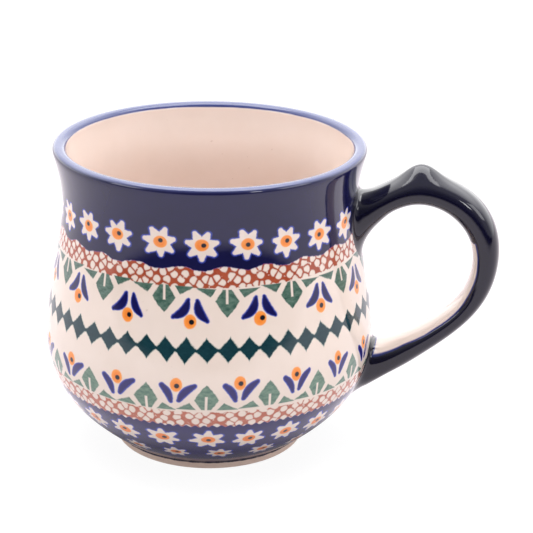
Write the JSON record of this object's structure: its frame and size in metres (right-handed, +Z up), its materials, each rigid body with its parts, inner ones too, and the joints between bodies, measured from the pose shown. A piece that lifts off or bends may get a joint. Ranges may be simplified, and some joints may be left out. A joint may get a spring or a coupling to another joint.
{
  "type": "stoneware mug",
  "caption": "Round-bellied Polish stoneware mug with a flared rim, strap handle with thumb nub and hand-stamped folk decoration.",
  "frame": {"origin": "centre of the foot ring in the plane it stands on, on the mug's turning axis", "axes": "+Z up along the turning axis towards the mouth; +X out through the handle; +Y completes a right-handed frame"},
  "size_m": [0.1391, 0.1016, 0.095],
  "materials": {
    "glazed_stoneware": "glossy clear glaze over cream stoneware body with cobalt, green, rust and orange underglaze decoration",
    "cobalt_stoneware": "glossy cobalt blue glaze"
  },
  "bodies": {
    "root": {"cup_body": "glazed_stoneware", "handle": "cobalt_stoneware", "upper_luting_slip": "cobalt_stoneware", "lower_luting_slip": "cobalt_stoneware"}
  },
  "joints": []
}
